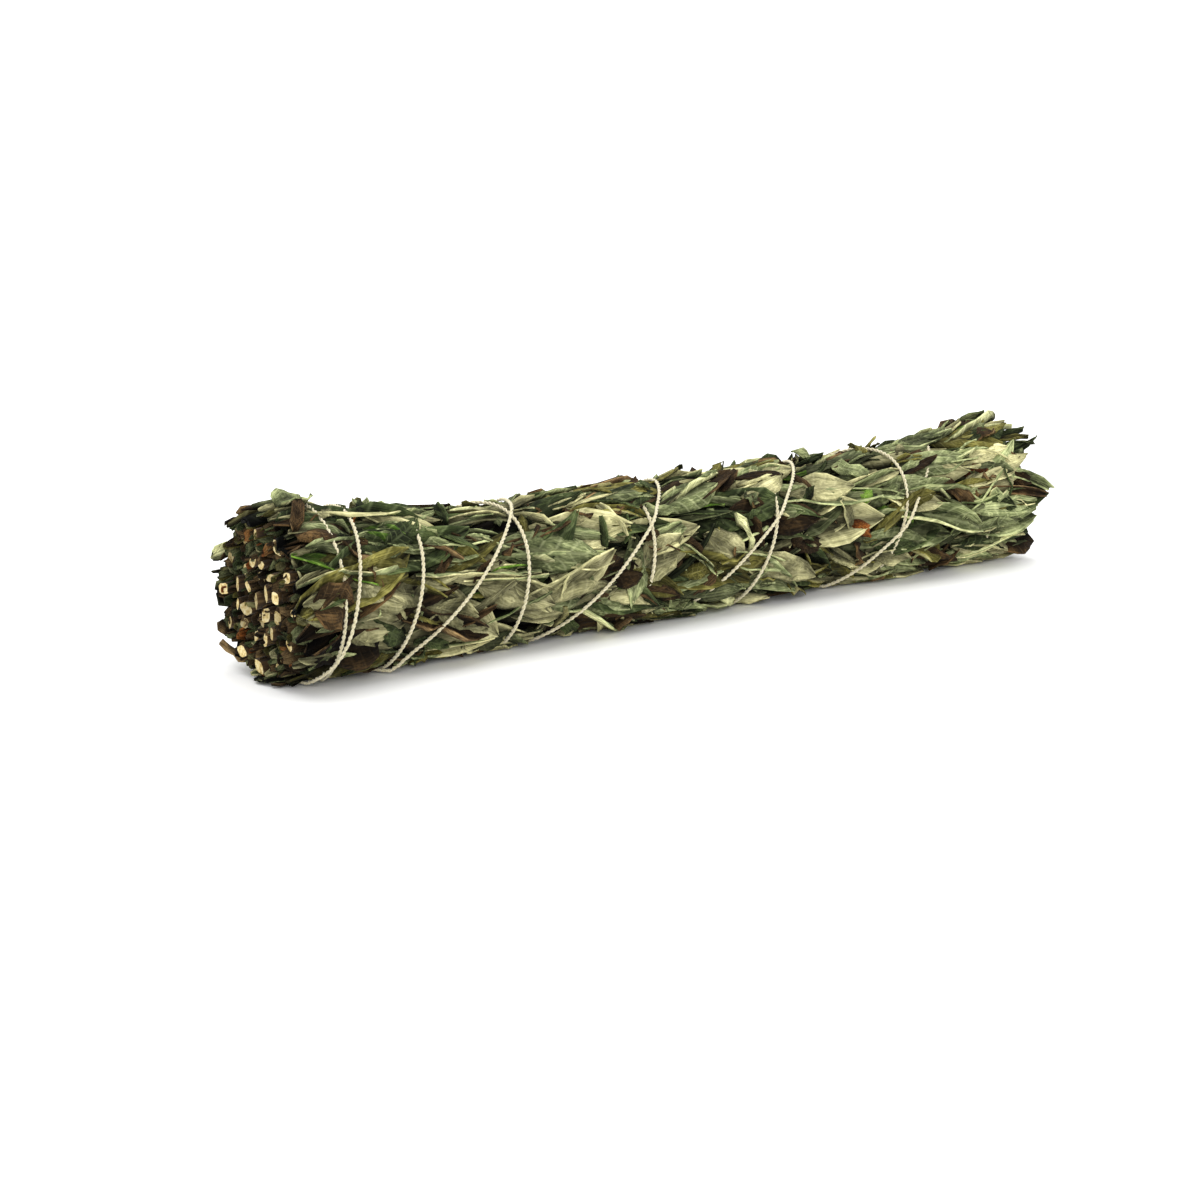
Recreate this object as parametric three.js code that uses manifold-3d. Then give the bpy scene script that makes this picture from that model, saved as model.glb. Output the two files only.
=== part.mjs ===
// A dried sage bunch lying on a table: leafy stems packed side by side and bound with one cotton thread.
// Millimetres, +Z up. The stems run along X, with their cut ends at -X and the leaf tips at +X.
// Shapes are worked out round the bunch's own line: a station x along it, an angle round it and a height
// above the pressed leaves. Angle 0 is the back (+Y), 90 the top, 180 the front and 270 the underside.

import * as THREE from 'three';
import { mergeVertices } from 'three/addons/utils/BufferGeometryUtils.js';
import Module from 'manifold-3d';

const wasm = await Module();
wasm.setup();

// Driving dimensions
const bunchLength = 212;
const outline = [[0, 19], [8, 20], [24, 18.2], [44, 16.8], [150, 16.4], [188, 17.2], [212, 18.4]]; // [x, radius]
const pressed = [[0, 17.2], [8, 17.2], [24, 14.2], [44, 11.9], [150, 11.4], [188, 12.2], [212, 13.4]];
const spread = [[0, 1.14], [44, 1], [212, 1.04]]; // how far the rings of stems below are spread there
const restLift = -1.9; // how far outside the outline the surface is that presses the underside flat
const cellGap = 0.3; // clearance between the pressed leaves of neighbouring stems
const cutClearance = 0.2; // clearance that a leaf keeps to a leaf, or the thread, of another stem
const threadRadius = 0.65;
const threadDepth = 1.1; // how deep in the outline the thread's centre runs
const threadSides = 5;
const threadStepsPerTurn = 12;
const bladeThickness = 0.6; // at the rib
const seed = 20418;

const rings = [
  { name: 'centre', count: 1, inner: 0, outer: 2.2, endLeaves: 2 },
  { name: 'inner', count: 6, inner: 2.5, outer: 5.2, endLeaves: 2 },
  { name: 'middle', count: 12, inner: 5.5, outer: 8.6, endLeaves: 2 },
  { name: 'outer', count: 12, inner: 8.9, outer: Infinity, endLeaves: 1 },
];
const sideLeaves = 8; // on each stem of the outer ring, from the butt to the tips
const tipLeaves = 2; // straps round the far end, on each stem of the outer ring
const stemStub = 30; // how far a bare stem end runs back into its leaves

// Where the thread passes the underside and the top in turn. It starts and ends at a knot on the back,
// halfway between the first two stations and between the last two.
const stationsUp = [7, 11, 12, 33, 26, 57, 56, 90, 90, 128, 120, 166, 160, 194];
const stationsBack = [189, 184, 143, 142, 94, 102, 58, 62, 20, 20, 6, 10];
const underside = -Math.PI / 2;
const knotTurn = 0.5; // half turns from the underside to the knot

const green = new THREE.MeshStandardMaterial({ color: 0x6b7358, roughness: 0.85, metalness: 0 });
const grey = new THREE.MeshStandardMaterial({ color: 0x868c74, roughness: 0.9, metalness: 0 });
const olive = new THREE.MeshStandardMaterial({ color: 0x58592f, roughness: 0.85, metalness: 0 });
const cotton = new THREE.MeshStandardMaterial({ color: 0xd9cfae, roughness: 0.95, metalness: 0 });

// A small whole-number generator, so that the draws are the same everywhere.
function makeDraw(start) {
  let state = start;
  return (low, high) => {
    state = (state * 16807) % 2147483647;
    return low + (high - low) * (state / 2147483647);
  };
}
const draw = makeDraw(seed);

// The value at x of a line through [x, value] points.
function alongLine(line, x) {
  const found = line.findIndex(([at]) => at > x);
  const i = found < 0 ? line.length - 2 : Math.max(0, found - 1);
  const [[x0, y0], [x1, y1]] = [line[i], line[i + 1]];
  return y0 + ((y1 - y0) * (x - x0)) / (x1 - x0);
}

const outlineRadius = (x) => alongLine(outline, x);
const pressedRadius = (x) => alongLine(pressed, x);
const lineHeight = (x) => outlineRadius(x) + restLift;

function place(x, angle, radius) {
  return new THREE.Vector3(x, radius * Math.cos(angle), lineHeight(x) + radius * Math.sin(angle));
}

// A closed geometry as a solid for joining and cutting.
function toSolid(geometry) {
  const bare = new THREE.BufferGeometry().setAttribute('position', geometry.getAttribute('position'));
  if (geometry.index) bare.setIndex(geometry.index);
  const merged = mergeVertices(bare, 1e-4);
  const mesh = new wasm.Mesh({
    numProp: 3,
    vertProperties: merged.getAttribute('position').array,
    triVerts: new Uint32Array(merged.index.array),
  });
  return new wasm.Manifold(mesh);
}

function solidFromPoints(points, faces) {
  const geometry = new THREE.BufferGeometry().setFromPoints(points);
  geometry.setIndex(faces.flat());
  return toSolid(geometry);
}

const joinAll = (solids) => solids.reduce((whole, next) => whole.add(next));

// Rows of points, each row a closed loop of the same count, skinned into a solid. A row of one point is a tip.
function skin(rows) {
  const points = rows.flat();
  const faces = [];
  let start = 0;
  rows.slice(0, -1).forEach((row, i) => {
    const next = rows[i + 1];
    const nextStart = start + row.length;
    const sides = Math.max(row.length, next.length);
    for (let k = 0; k < sides; k++) {
      const a = start + (k % row.length);
      const b = start + ((k + 1) % row.length);
      const c = nextStart + (k % next.length);
      const d = nextStart + ((k + 1) % next.length);
      const far = k >= sides / 2; // split the other way there, so that a blade's two faces bend alike
      if (row.length > 1) faces.push([a, b, far ? d : c]);
      if (next.length > 1) faces.push([far ? a : b, d, c]);
    }
    start = nextStart;
  });
  const capFan = (first, count, flip) => {
    for (let k = 1; k < count - 1; k++) {
      faces.push(flip ? [first, first + k + 1, first + k] : [first, first + k, first + k + 1]);
    }
  };
  if (rows[0].length > 1) capFan(0, rows[0].length, true);
  if (rows[rows.length - 1].length > 1) capFan(start, rows[rows.length - 1].length, false);
  const solid = solidFromPoints(points, faces);
  return solid.volume() >= 0 ? solid : solidFromPoints(points, faces.map(([a, b, c]) => [a, c, b]));
}

// The thread's route

const stations = [...stationsUp, ...stationsBack];
const lastStation = stations.length - 1;
const routeEnd = lastStation - knotTurn;

function stationAt(t) {
  const i = Math.min(lastStation - 1, Math.floor(t));
  const f = t - i;
  const at = (k) => stations[Math.min(lastStation, Math.max(0, k))];
  const [a, b, c, d] = [at(i - 1), at(i), at(i + 1), at(i + 2)];
  return b + 0.5 * f * (c - a + f * (2 * a - 5 * b + 4 * c - d + f * (3 * (b - c) + d - a)));
}

const routeSamples = [];
for (let t = knotTurn; t <= routeEnd; t += 0.04) {
  routeSamples.push({ t, x: stationAt(t), angle: underside + Math.PI * t });
}

const farFromThread = 12; // beyond this the thread's pull isn't felt
const wrapped = (angle) => angle - 2 * Math.PI * Math.round(angle / (2 * Math.PI));

function distanceToThread(x, angle, samples = routeSamples) {
  const radius = outlineRadius(x);
  return samples.reduce((least, s) => {
    const along = x - s.x;
    return Math.abs(along) > least ? least : Math.min(least, Math.hypot(along, wrapped(angle - s.angle) * radius));
  }, farFromThread);
}

// The thread climbs over every earlier strand that it crosses.
const climb = 1.5;
const climbReach = 2.6;
const strandApart = 0.7; // half turns between two places that count as separate strands

function routePoint(t) {
  const x = stationAt(t);
  const angle = underside + Math.PI * t;
  const earlier = routeSamples.filter((s) => s.t < t - strandApart);
  const near = distanceToThread(x, angle, earlier);
  const lift = climb * Math.exp(-((near / climbReach) ** 2));
  const point = place(x, angle, outlineRadius(x) - threadDepth + lift);
  point.z = Math.max(point.z, threadRadius + cutClearance);
  return point;
}

class RoutePart extends THREE.Curve {
  constructor(from, to) {
    super();
    this.from = from;
    this.to = to;
  }

  getPoint(share) {
    return routePoint(this.from + (this.to - this.from) * share);
  }
}

function roundSection(radius, sides) {
  const corners = [...Array(sides).keys()].map((k) => {
    const turn = (2 * Math.PI * k) / sides;
    return new THREE.Vector2(radius * Math.cos(turn), radius * Math.sin(turn));
  });
  return new THREE.Shape(corners);
}

function tube(path, radius, steps) {
  const settings = { steps, extrudePath: path, bevelEnabled: false };
  return toSolid(new THREE.ExtrudeGeometry(roundSection(radius, threadSides), settings));
}

const tailLength = 16;
const knotRadius = 1.7;
const knotStation = (stationAt(knotTurn) + stationAt(routeEnd)) / 2;
const knotAngle = underside + Math.PI * knotTurn;

// Two cut tails run from the knot down the back of the leaves.
function tail(turn) {
  const points = [0, 0.35, 0.7, 1].map((share) => {
    const x = knotStation + tailLength * share * Math.cos(turn);
    const angle = knotAngle - (tailLength * share * Math.sin(turn)) / outlineRadius(x);
    const point = place(x, angle, outlineRadius(x) - threadDepth);
    point.z = Math.max(point.z, threadRadius + cutClearance);
    return point;
  });
  return new THREE.CatmullRomCurve3(points);
}

function threadSolid(radius) {
  const turnBack = stationsUp.length - 1;
  const overlap = 0.02;
  const stepsFor = (span) => Math.round((span / 2) * threadStepsPerTurn);
  const up = tube(new RoutePart(knotTurn, turnBack + overlap), radius, stepsFor(turnBack - knotTurn));
  const back = tube(new RoutePart(turnBack, routeEnd), radius, stepsFor(routeEnd - turnBack));
  const tails = [0.35, 1.0].map((turn) => tube(tail(turn), radius, 3));
  const knot = new THREE.IcosahedronGeometry(knotRadius + radius - threadRadius, 1);
  const middle = place(knotStation, knotAngle, outlineRadius(knotStation) - threadDepth);
  knot.translate(middle.x, middle.y, middle.z);
  return joinAll([up, back, ...tails, toSolid(knot)]);
}

// Leaf blades: a rib with a lens section, so both edges are shared by the two faces

const broadRows = [[0, 0], [0.3, 0.92], [0.68, 0.84], [1, 0]];
const strapRows = [[0, 0], [0.35, 0.85], [0.9, 0.9], [1, 0]];
const buttRows = [[0, 0.75], [0.35, 1], [1, 0]]; // a leaf whose base was cut off with the stems

// Station and angle of a point of the blade: u runs from base to tip, v from edge to edge.
function onBunch(leaf, u, v) {
  const along = u * leaf.length;
  const across = v * alongLine(leaf.rows, u) * leaf.halfWidth;
  const x = leaf.x + along * Math.cos(leaf.yaw) - across * Math.sin(leaf.yaw);
  const arc = along * Math.sin(leaf.yaw) + across * Math.cos(leaf.yaw);
  return { x, angle: leaf.angle + (2 * arc) / (pressedRadius(x) + outlineRadius(x)) };
}

// Leaves lie like shingles. Each rises steadily from its sunk root to the outline, so a leaf that starts
// further from the butt passes below every leaf that starts before it.
const rise = 34;
const rootSink = -1.1;
const bladeTop = 0.35; // how far a blade stays below the outline
const pinnedTop = threadDepth + threadRadius + 0.55; // and where the thread holds it down
const pinReach = 3; // how far from the thread its pull is felt
const restSag = 0.8; // the outer leaves of the underside sag onto the surface
const restSpread = 0.45;

function leafHeight(leaf, x, angle, u, v) {
  const share = (leaf.missing + u * leaf.length) / rise;
  const hold = Math.exp(-((distanceToThread(x, angle) / pinReach) ** 2));
  const layer = outlineRadius(x) - pressedRadius(x);
  const top = layer - bladeTop - (pinnedTop - bladeTop) * hold;
  const loose = leaf.curl * Math.max(0, (u - 0.6) / 0.4) ** 2 + leaf.tilt * v;
  const below = Math.max(0, 1 - Math.abs(wrapped(angle - underside)) / restSpread);
  return rootSink + (top - rootSink) * Math.min(1, share) + (1 - hold) * (loose + restSag * share * Math.sqrt(below));
}

// Where the thread crosses one column of the blade.
function crossings(leaf, v) {
  const step = 0.03;
  const shares = [...Array(28).keys()].map((k) => 0.1 + k * step);
  const far = shares.map((u) => {
    const { x, angle } = onBunch(leaf, u, v);
    return distanceToThread(x, angle);
  });
  return shares.filter((_, k) => far[k] < 1 && far[k] <= far[k - 1] && far[k] <= far[k + 1]);
}

const closest = (values, wanted) =>
  values.reduce((best, value) => (Math.abs(value - wanted) < Math.abs(best - wanted) ? value : best));

// The place of every row along the blade's two edges and its rib. Where the thread crosses the blade,
// one row slides along each of them until it lies under the thread.
function rowPlaces(leaf) {
  const shares = leaf.rows.map(([u]) => u);
  const inner = shares.slice(1, -1);
  const held = new Map();
  crossings(leaf, 0).forEach((at) => {
    const row = closest(inner, at);
    if (!held.has(row)) held.set(row, at);
  });
  const slack = 0.2;
  return [-1, 0, 1].map((v) => {
    const here = crossings(leaf, v);
    const anchors = [[0, 0]];
    [...held].sort((p, q) => p[0] - q[0]).forEach(([row, at]) => {
      const near = here.length ? closest(here, at) : at;
      const wanted = Math.abs(near - at) < slack ? near : at;
      const previous = anchors[anchors.length - 1][1];
      anchors.push([row, Math.min(0.92, Math.max(previous + 0.08, wanted))]);
    });
    anchors.push([1, 1]);
    return shares.map((u) => {
      const k = Math.max(1, anchors.findIndex(([base]) => base >= u));
      const [[b0, a0], [b1, a1]] = [anchors[k - 1], anchors[k]];
      return a0 + ((a1 - a0) * (u - b0)) / (b1 - b0);
    });
  });
}

const edgeReach = 2.5; // a grown blade reaches this many times further at its edges than at its faces

// A blade from its rib and edge lines, with an outward direction for its thickness at each row.
function bladeFromLines(left, rib, right, outward, widths, grow) {
  const half = bladeThickness / 2 + grow;
  const further = (point, from) => point.clone().add(point.clone().sub(from).setLength(edgeReach * grow));
  const last = rib.length - 1;
  const rows = rib.map((middle, row) => {
    if (widths[row] === 0) return [further(middle, rib[row === last ? row - 1 : 1])];
    return [
      further(left[row], middle),
      middle.clone().addScaledVector(outward[row], half),
      further(right[row], middle),
      middle.clone().addScaledVector(outward[row], -half),
    ];
  });
  return skin(rows);
}

function sideBlade(leaf, grow) {
  leaf.places ??= rowPlaces(leaf);
  const outward = [];
  const [left, rib, right] = [-1, 0, 1].map((v, column) => leaf.places[column].map((u, row) => {
    const { x, angle } = onBunch(leaf, u, v);
    if (v === 0) outward[row] = new THREE.Vector3(0, Math.cos(angle), Math.sin(angle));
    return place(x, angle, pressedRadius(x) + leafHeight(leaf, x, angle, u, v));
  }));
  return bladeFromLines(left, rib, right, outward, leaf.rows.map(([, width]) => width), grow);
}

// A leaf that stands out of the bunch's end, along its own stem, one of two that lie face to face.
const endLeafApart = 1.7;

function endBlade(leaf, grow) {
  const forward = new THREE.Vector3(1, 0, 0);
  const outward = new THREE.Vector3(0, Math.cos(leaf.angle), Math.sin(leaf.angle));
  const across = new THREE.Vector3(0, Math.cos(leaf.roll), Math.sin(leaf.roll));
  const normal = new THREE.Vector3().crossVectors(forward, across);
  const rib = leaf.rows.map(([u]) => place(leaf.x, leaf.angle, leaf.radius)
    .addScaledVector(forward, u * leaf.length)
    .addScaledVector(outward, leaf.flare * u * u)
    .addScaledVector(normal, leaf.side * endLeafApart + leaf.bow * Math.sin(Math.PI * u)));
  const [left, right] = [-1, 1].map((v) => rib.map((middle, row) => middle.clone()
    .addScaledVector(across, v * leaf.rows[row][1] * leaf.halfWidth)
    .addScaledVector(normal, leaf.fold * leaf.rows[row][1])));
  return bladeFromLines(left, rib, right, rib.map(() => normal), leaf.rows.map(([, width]) => width), grow);
}

// Pressed leaves: each stem's share of the packed bunch, a cell of a ring

const ringRadius = (radius, x) => Math.min(radius * alongLine(spread, x), pressedRadius(x));

function ringMiddle(ring, x) {
  return ring.count === 1 ? 0 : (ringRadius(ring.inner, x) + ringRadius(ring.outer, x)) / 2;
}

function cellCorners(ring, x, angle, grow) {
  if (ring.count === 1) {
    const sides = 8;
    const radius = ringRadius(ring.outer, x) + grow;
    return [...Array(sides).keys()].map((k) => place(x, (2 * Math.PI * k) / sides, radius));
  }
  const half = Math.PI / ring.count;
  const arc = (radius) => [-1, 0, 1].map((side) => {
    const turn = side * (half - (cellGap / 2 - grow) / radius);
    return place(x, angle + turn, radius);
  });
  return [...arc(ringRadius(ring.outer, x) + grow), ...arc(ringRadius(ring.inner, x) - grow).reverse()];
}

function pressedLeaves(sprig, grow) {
  const bends = sprig.ring.outer === Infinity ? pressed : spread;
  const inside = bends.map(([x]) => x).filter((x) => x > sprig.start + 2 && x < sprig.end - 2);
  const at = [sprig.start - grow, ...inside, sprig.end + grow];
  return skin(at.map((x) => cellCorners(sprig.ring, x, sprig.angle, grow)));
}

function bareStem(sprig, grow) {
  const sides = 7;
  const section = (x, radius) => {
    const centre = place(x, sprig.angle, ringMiddle(sprig.ring, x));
    return [...Array(sides).keys()].map((k) => {
      const turn = (2 * Math.PI * k) / sides;
      const slope = x < sprig.start ? sprig.cutSlope * Math.cos(turn) * radius : 0;
      return new THREE.Vector3(slope, radius * Math.cos(turn), radius * Math.sin(turn)).add(centre);
    });
  };
  const thick = sprig.stemRadius + grow;
  return skin([section(sprig.stemEnd - grow, thick), section(sprig.start + stemStub, thick * 0.7)]);
}

// The draws

// The side leaves of three neighbouring stems start at three different stations, a third of the spacing
// apart, so no two leaves that meet are at the same height.
const sideSpacing = 21;
const lanePhase = (index) => (index % 3) * (sideSpacing / 3);

function drawSideLeaf(sprig, index) {
  const lane = (2 * Math.PI) / sprig.ring.count;
  return {
    rows: broadRows,
    x: 2 + lanePhase(sprig.index) + (index - 0.3) * sideSpacing + draw(-1, 1),
    angle: sprig.angle + draw(-0.3, 0.3) * lane,
    yaw: (index % 2 ? 1 : -1) * draw(0.04, 0.25),
    missing: 0,
    length: draw(29, 38),
    halfWidth: draw(4.3, 5.6),
    curl: draw(-0.2, 1) ** 3,
    tilt: draw(-0.2, 0.2),
  };
}

function drawButtLeaf(sprig) {
  const lane = (2 * Math.PI) / sprig.ring.count;
  const cut = draw(2, 5);
  const missing = cut - 2 - lanePhase(sprig.index) + 1.3 * sideSpacing;
  return {
    rows: buttRows,
    x: cut,
    angle: sprig.angle + draw(-0.2, 0.2) * lane,
    yaw: draw(-0.12, 0.12),
    missing,
    length: 38 - missing,
    halfWidth: draw(4.6, 5.6),
    curl: 0,
    tilt: 0,
  };
}

function drawOuterTip(sprig, index) {
  const lane = (2 * Math.PI) / sprig.ring.count;
  const length = draw(30, 37);
  return {
    rows: strapRows,
    x: bunchLength - length - 1 - lanePhase(sprig.index) * 0.6 - index * 4 - draw(0, 2),
    angle: sprig.angle + ((index - 0.5) * 0.5 + draw(-0.1, 0.1)) * lane,
    yaw: draw(-0.12, 0.12),
    missing: 0,
    length,
    halfWidth: draw(3.6, 4.8),
    curl: draw(-0.6, 0.3),
    tilt: draw(-0.2, 0.2),
  };
}

function drawEndLeaf(sprig, index) {
  const length = draw(24, 34);
  const louver = draw(0.8, 1.1);
  return {
    rows: strapRows,
    x: Math.min(sprig.end - 6, bunchLength - length - draw(0, 6)),
    angle: sprig.angle,
    radius: ringMiddle(sprig.ring, sprig.end),
    length,
    roll: sprig.angle + Math.PI / 2 + louver,
    side: sprig.ring.endLeaves > 1 ? index - 0.5 : 0,
    flare: draw(0, 1.2),
    bow: draw(-0.25, 0.25),
    fold: draw(-0.3, 0.3),
    halfWidth: draw(1.8, 2.3),
  };
}

function drawSprig(ring, index) {
  const shift = ring.name === 'middle' ? 0.5 : 0;
  const sprig = {
    ring,
    index,
    angle: (2 * Math.PI * (index + shift)) / ring.count - Math.PI / 2,
    stemEnd: draw(0, 1.8),
    stemRadius: draw(1.35, 1.9),
    cutSlope: draw(-0.35, 0.35),
    start: draw(2.6, 4.6),
    end: bunchLength - draw(16, 24),
  };
  const many = (count, make) => [...Array(count).keys()].map((k) => make(sprig, k));
  const outer = ring.name === 'outer';
  sprig.side = outer
    ? [drawButtLeaf(sprig), ...many(sideLeaves, drawSideLeaf), ...many(tipLeaves, drawOuterTip)] : [];
  sprig.ends = many(ring.endLeaves, drawEndLeaf);
  return sprig;
}

function sprigSolid(sprig, grow) {
  const coreGrow = Math.min(grow, 0.12);
  return joinAll([
    pressedLeaves(sprig, coreGrow),
    bareStem(sprig, coreGrow),
    ...sprig.side.map((leaf) => sideBlade(leaf, grow)),
    ...sprig.ends.map((leaf) => endBlade(leaf, grow)),
  ]);
}

// The table presses the underside flat: nothing reaches below z = 0, and the ends are cut square.
function tableSpace() {
  const space = new THREE.BoxGeometry(bunchLength, 60, 60);
  space.translate(bunchLength / 2, 0, 30);
  return toSolid(space);
}

function largestPiece(solid) {
  return solid.decompose().reduce((best, next) => (next.volume() > best.volume() ? next : best));
}

function toGeometry(solid) {
  const { numProp, numVert, vertProperties, triVerts } = solid.getMesh();
  const positions = new Float32Array(numVert * 3);
  for (let i = 0; i < numVert; i++) {
    positions.set(vertProperties.subarray(i * numProp, i * numProp + 3), i * 3);
  }
  const geometry = new THREE.BufferGeometry();
  geometry.setAttribute('position', new THREE.BufferAttribute(positions, 3));
  geometry.setIndex(new THREE.BufferAttribute(triVerts, 1));
  return geometry;
}

// Whether every edge is shared by exactly two triangles, counting points at one place as one.
function edgesPaired(solid) {
  const { array } = mergeVertices(toGeometry(solid), 1e-3).index;
  const uses = new Map();
  array.forEach((from, i) => {
    const to = array[i % 3 === 2 ? i - 2 : i + 1];
    const edge = `${Math.min(from, to)} ${Math.max(from, to)}`;
    uses.set(edge, (uses.get(edge) ?? 0) + 1);
  });
  return [...uses.values()].every((count) => count === 2);
}

// Points that a cut leaves a hair apart become one, and what hung on only by them is dropped.
const hairs = [0.01, 0.014, 8e-3, 0.02, 5e-3];

function roundedTo(hair, solid) {
  const geometry = toGeometry(solid);
  const { array } = geometry.getAttribute('position');
  array.forEach((value, i) => { array[i] = Math.round(value / hair) * hair; });
  return largestPiece(toSolid(geometry));
}

function tidied(solid) {
  const whole = largestPiece(solid);
  const attempts = hairs.map((hair) => roundedTo(hair, whole));
  return attempts.find(edgesPaired) ?? attempts[0];
}

const bunch = new THREE.Group();

function addPiece(name, solid, material) {
  const mesh = new THREE.Mesh(toGeometry(solid), material);
  mesh.name = name;
  bunch.add(mesh);
}

const above = tableSpace();
let taken = threadSolid(threadRadius + cutClearance);
addPiece('binding_thread', tidied(threadSolid(threadRadius)), cotton);

for (const ring of rings) {
  for (let i = 0; i < ring.count; i++) {
    const sprig = drawSprig(ring, i);
    const solid = sprigSolid(sprig, 0).subtract(taken).intersect(above);
    taken = taken.add(sprigSolid(sprig, cutClearance));
    const label = ring.count === 1 ? ring.name : `${ring.name}_${String(i + 1).padStart(2, '0')}`;
    addPiece(`leafy_stem_${label}`, tidied(solid), [green, grey, olive][i % 3]);
  }
}

// The origin is under the middle of the bunch, on the surface that it lies on.
const size = new THREE.Box3().setFromObject(bunch);
bunch.position.set(-(size.min.x + size.max.x) / 2, -(size.min.y + size.max.y) / 2, -size.min.z);

export default bunch;
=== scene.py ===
# A dried sage bunch bound with cotton thread, lying on a pale table.
import math
import random

import bmesh
import bpy
import numpy as np
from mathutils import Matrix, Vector, noise


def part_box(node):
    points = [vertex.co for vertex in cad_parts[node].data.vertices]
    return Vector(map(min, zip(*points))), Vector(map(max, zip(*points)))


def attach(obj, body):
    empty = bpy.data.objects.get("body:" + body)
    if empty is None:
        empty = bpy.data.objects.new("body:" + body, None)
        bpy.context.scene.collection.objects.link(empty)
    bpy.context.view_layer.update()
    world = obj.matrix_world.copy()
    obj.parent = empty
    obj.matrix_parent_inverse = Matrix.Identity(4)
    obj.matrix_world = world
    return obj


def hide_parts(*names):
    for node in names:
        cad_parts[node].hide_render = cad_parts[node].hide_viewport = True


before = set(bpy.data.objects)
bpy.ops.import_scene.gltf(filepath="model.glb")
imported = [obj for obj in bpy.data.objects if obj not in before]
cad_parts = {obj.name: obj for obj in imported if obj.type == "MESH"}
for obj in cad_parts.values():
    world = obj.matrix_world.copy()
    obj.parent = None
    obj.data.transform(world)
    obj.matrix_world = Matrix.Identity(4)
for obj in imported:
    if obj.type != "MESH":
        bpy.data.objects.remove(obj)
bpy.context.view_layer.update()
mm = 0.001

# The bunch's own measures in millimetres: a station x from the cut ends to the tips, an angle round the
# bunch (0 back, 90 top, 180 front, 270 underside) and a radius. Lines are lists of (x, radius).
bunch = {
    "length": 212,
    "outline": [(0, 19), (8, 20), (24, 18.2), (44, 16.8), (150, 16.4), (188, 17.2), (212, 18.4)],
    "pressed": [(0, 17.2), (8, 17.2), (24, 14.2), (44, 11.9), (150, 11.4), (188, 12.2), (212, 13.4)],
    "spread": [(0, 1.14), (44, 1), (212, 1.04)],
    "restLift": -1.9,  # the table presses the underside this flat
    "seed": 20418,  # of the leaves that the frame has too
    "looseSeed": 7,  # of everything else
    "stemStub": 30,
    "sideLeaves": 8,
    "tipLeaves": 2,
    "sideSpacing": 21,
}

rings = [
    {"name": "centre", "count": 1, "inner": 0, "outer": 2.2, "endLeaves": 2},
    {"name": "inner", "count": 6, "inner": 2.5, "outer": 5.2, "endLeaves": 2},
    {"name": "middle", "count": 12, "inner": 5.5, "outer": 8.6, "endLeaves": 2},
    {"name": "outer", "count": 12, "inner": 8.9, "outer": math.inf, "endLeaves": 1},
]

underside = -math.pi / 2


def alongLine(line, x):
    i = next((k for k, (at, _) in enumerate(line) if at > x), len(line) - 1)
    (x0, y0), (x1, y1) = line[max(0, i - 1)], line[max(1, i)]
    return y0 + (y1 - y0) * (x - x0) / (x1 - x0)


def outlineRadius(x):
    return alongLine(bunch["outline"], x)


def pressedRadius(x):
    return alongLine(bunch["pressed"], x)


def place(x, angle, radius):
    height = outlineRadius(x) + bunch["restLift"] + radius * math.sin(angle)
    return Vector((x, radius * math.cos(angle), height))


def wrapped(angle):
    return angle - 2 * math.pi * round(angle / (2 * math.pi))


# The thread's route: where it passes the underside and the top in turn, up to the tips and back to the
# knot. A place t on it is counted in half turns from the first underside.
thread = {
    "up": [7, 11, 12, 33, 26, 57, 56, 90, 90, 128, 120, 166, 160, 194],
    "back": [189, 184, 143, 142, 94, 102, 58, 62, 20, 20, 6, 10],
    "knotTurn": 0.5,
    "depth": 1.1,  # its centre below the outline
    "radius": 0.65,
    "climb": 1.5,  # over the strands that it crosses
    "climbReach": 2.6,
    "strandApart": 0.7,
    "plyRadius": 0.23,
    "plyOffset": 0.85,  # less than 1, so that the plies touch
    "plyPitch": 2.4,
    "tailLength": 16,
    "tailTurns": [0.35, 1.0],
    "tailSteps": 40,
    "knotSize": (1.5, 0.7, 1.5),
    "knotLift": 0.5,
    "knotSteps": 120,
    "tableGap": 0.2,
    "sampleStep": 0.04,
    "boxStep": 0.02,
    "fineStep": 0.008,
    "buried": [  # half turns in which loose leaves have slipped over it
        (0.9, 1.75), (2.9, 3.25), (5.75, 6.2), (6.9, 7.3), (7.5, 8.1), (8.9, 9.35), (11.3, 12.1),
        (12.9, 14.1), (14.9, 15.4), (17.65, 18.1),
    ],
}
stations = thread["up"] + thread["back"]
lastStation = len(stations) - 1
routeEnd = lastStation - thread["knotTurn"]


def stationAt(t):
    i = min(lastStation - 1, math.floor(t))
    f = t - i
    a, b, c, d = (stations[min(lastStation, max(0, k))] for k in range(i - 1, i + 3))
    return b + 0.5 * f * (c - a + f * (2 * a - 5 * b + 4 * c - d + f * (3 * (b - c) + d - a)))


def routeTimes(step):
    count = int((routeEnd - thread["knotTurn"]) / step)
    return [thread["knotTurn"] + k * step for k in range(count + 1)]


times = routeTimes(thread["sampleStep"])
routeSamples = np.array([(t, stationAt(t), underside + math.pi * t) for t in times])
farAway = 99.0


def spanToThread(x, angle, samples=routeSamples):
    turns = (angle - samples[:, 2]) / (2 * math.pi)
    around = (turns - np.round(turns)) * 2 * math.pi * outlineRadius(x)
    return float(np.sqrt((x - samples[:, 1]) ** 2 + around**2).min()) if len(samples) else farAway


def liesOpen(t):
    return not any(low < t < high for low, high in thread["buried"])


# Distances to the thread that lies open, worked out once for every millimetre and every third degree.
openSamples = np.array([sample for sample in routeSamples if liesOpen(sample[0])])
fieldStep = 3
threadField = np.array(
    [
        [spanToThread(x, math.radians(a), openSamples) for a in range(0, 360, fieldStep)]
        for x in range(bunch["length"] + 1)
    ]
)


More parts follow.
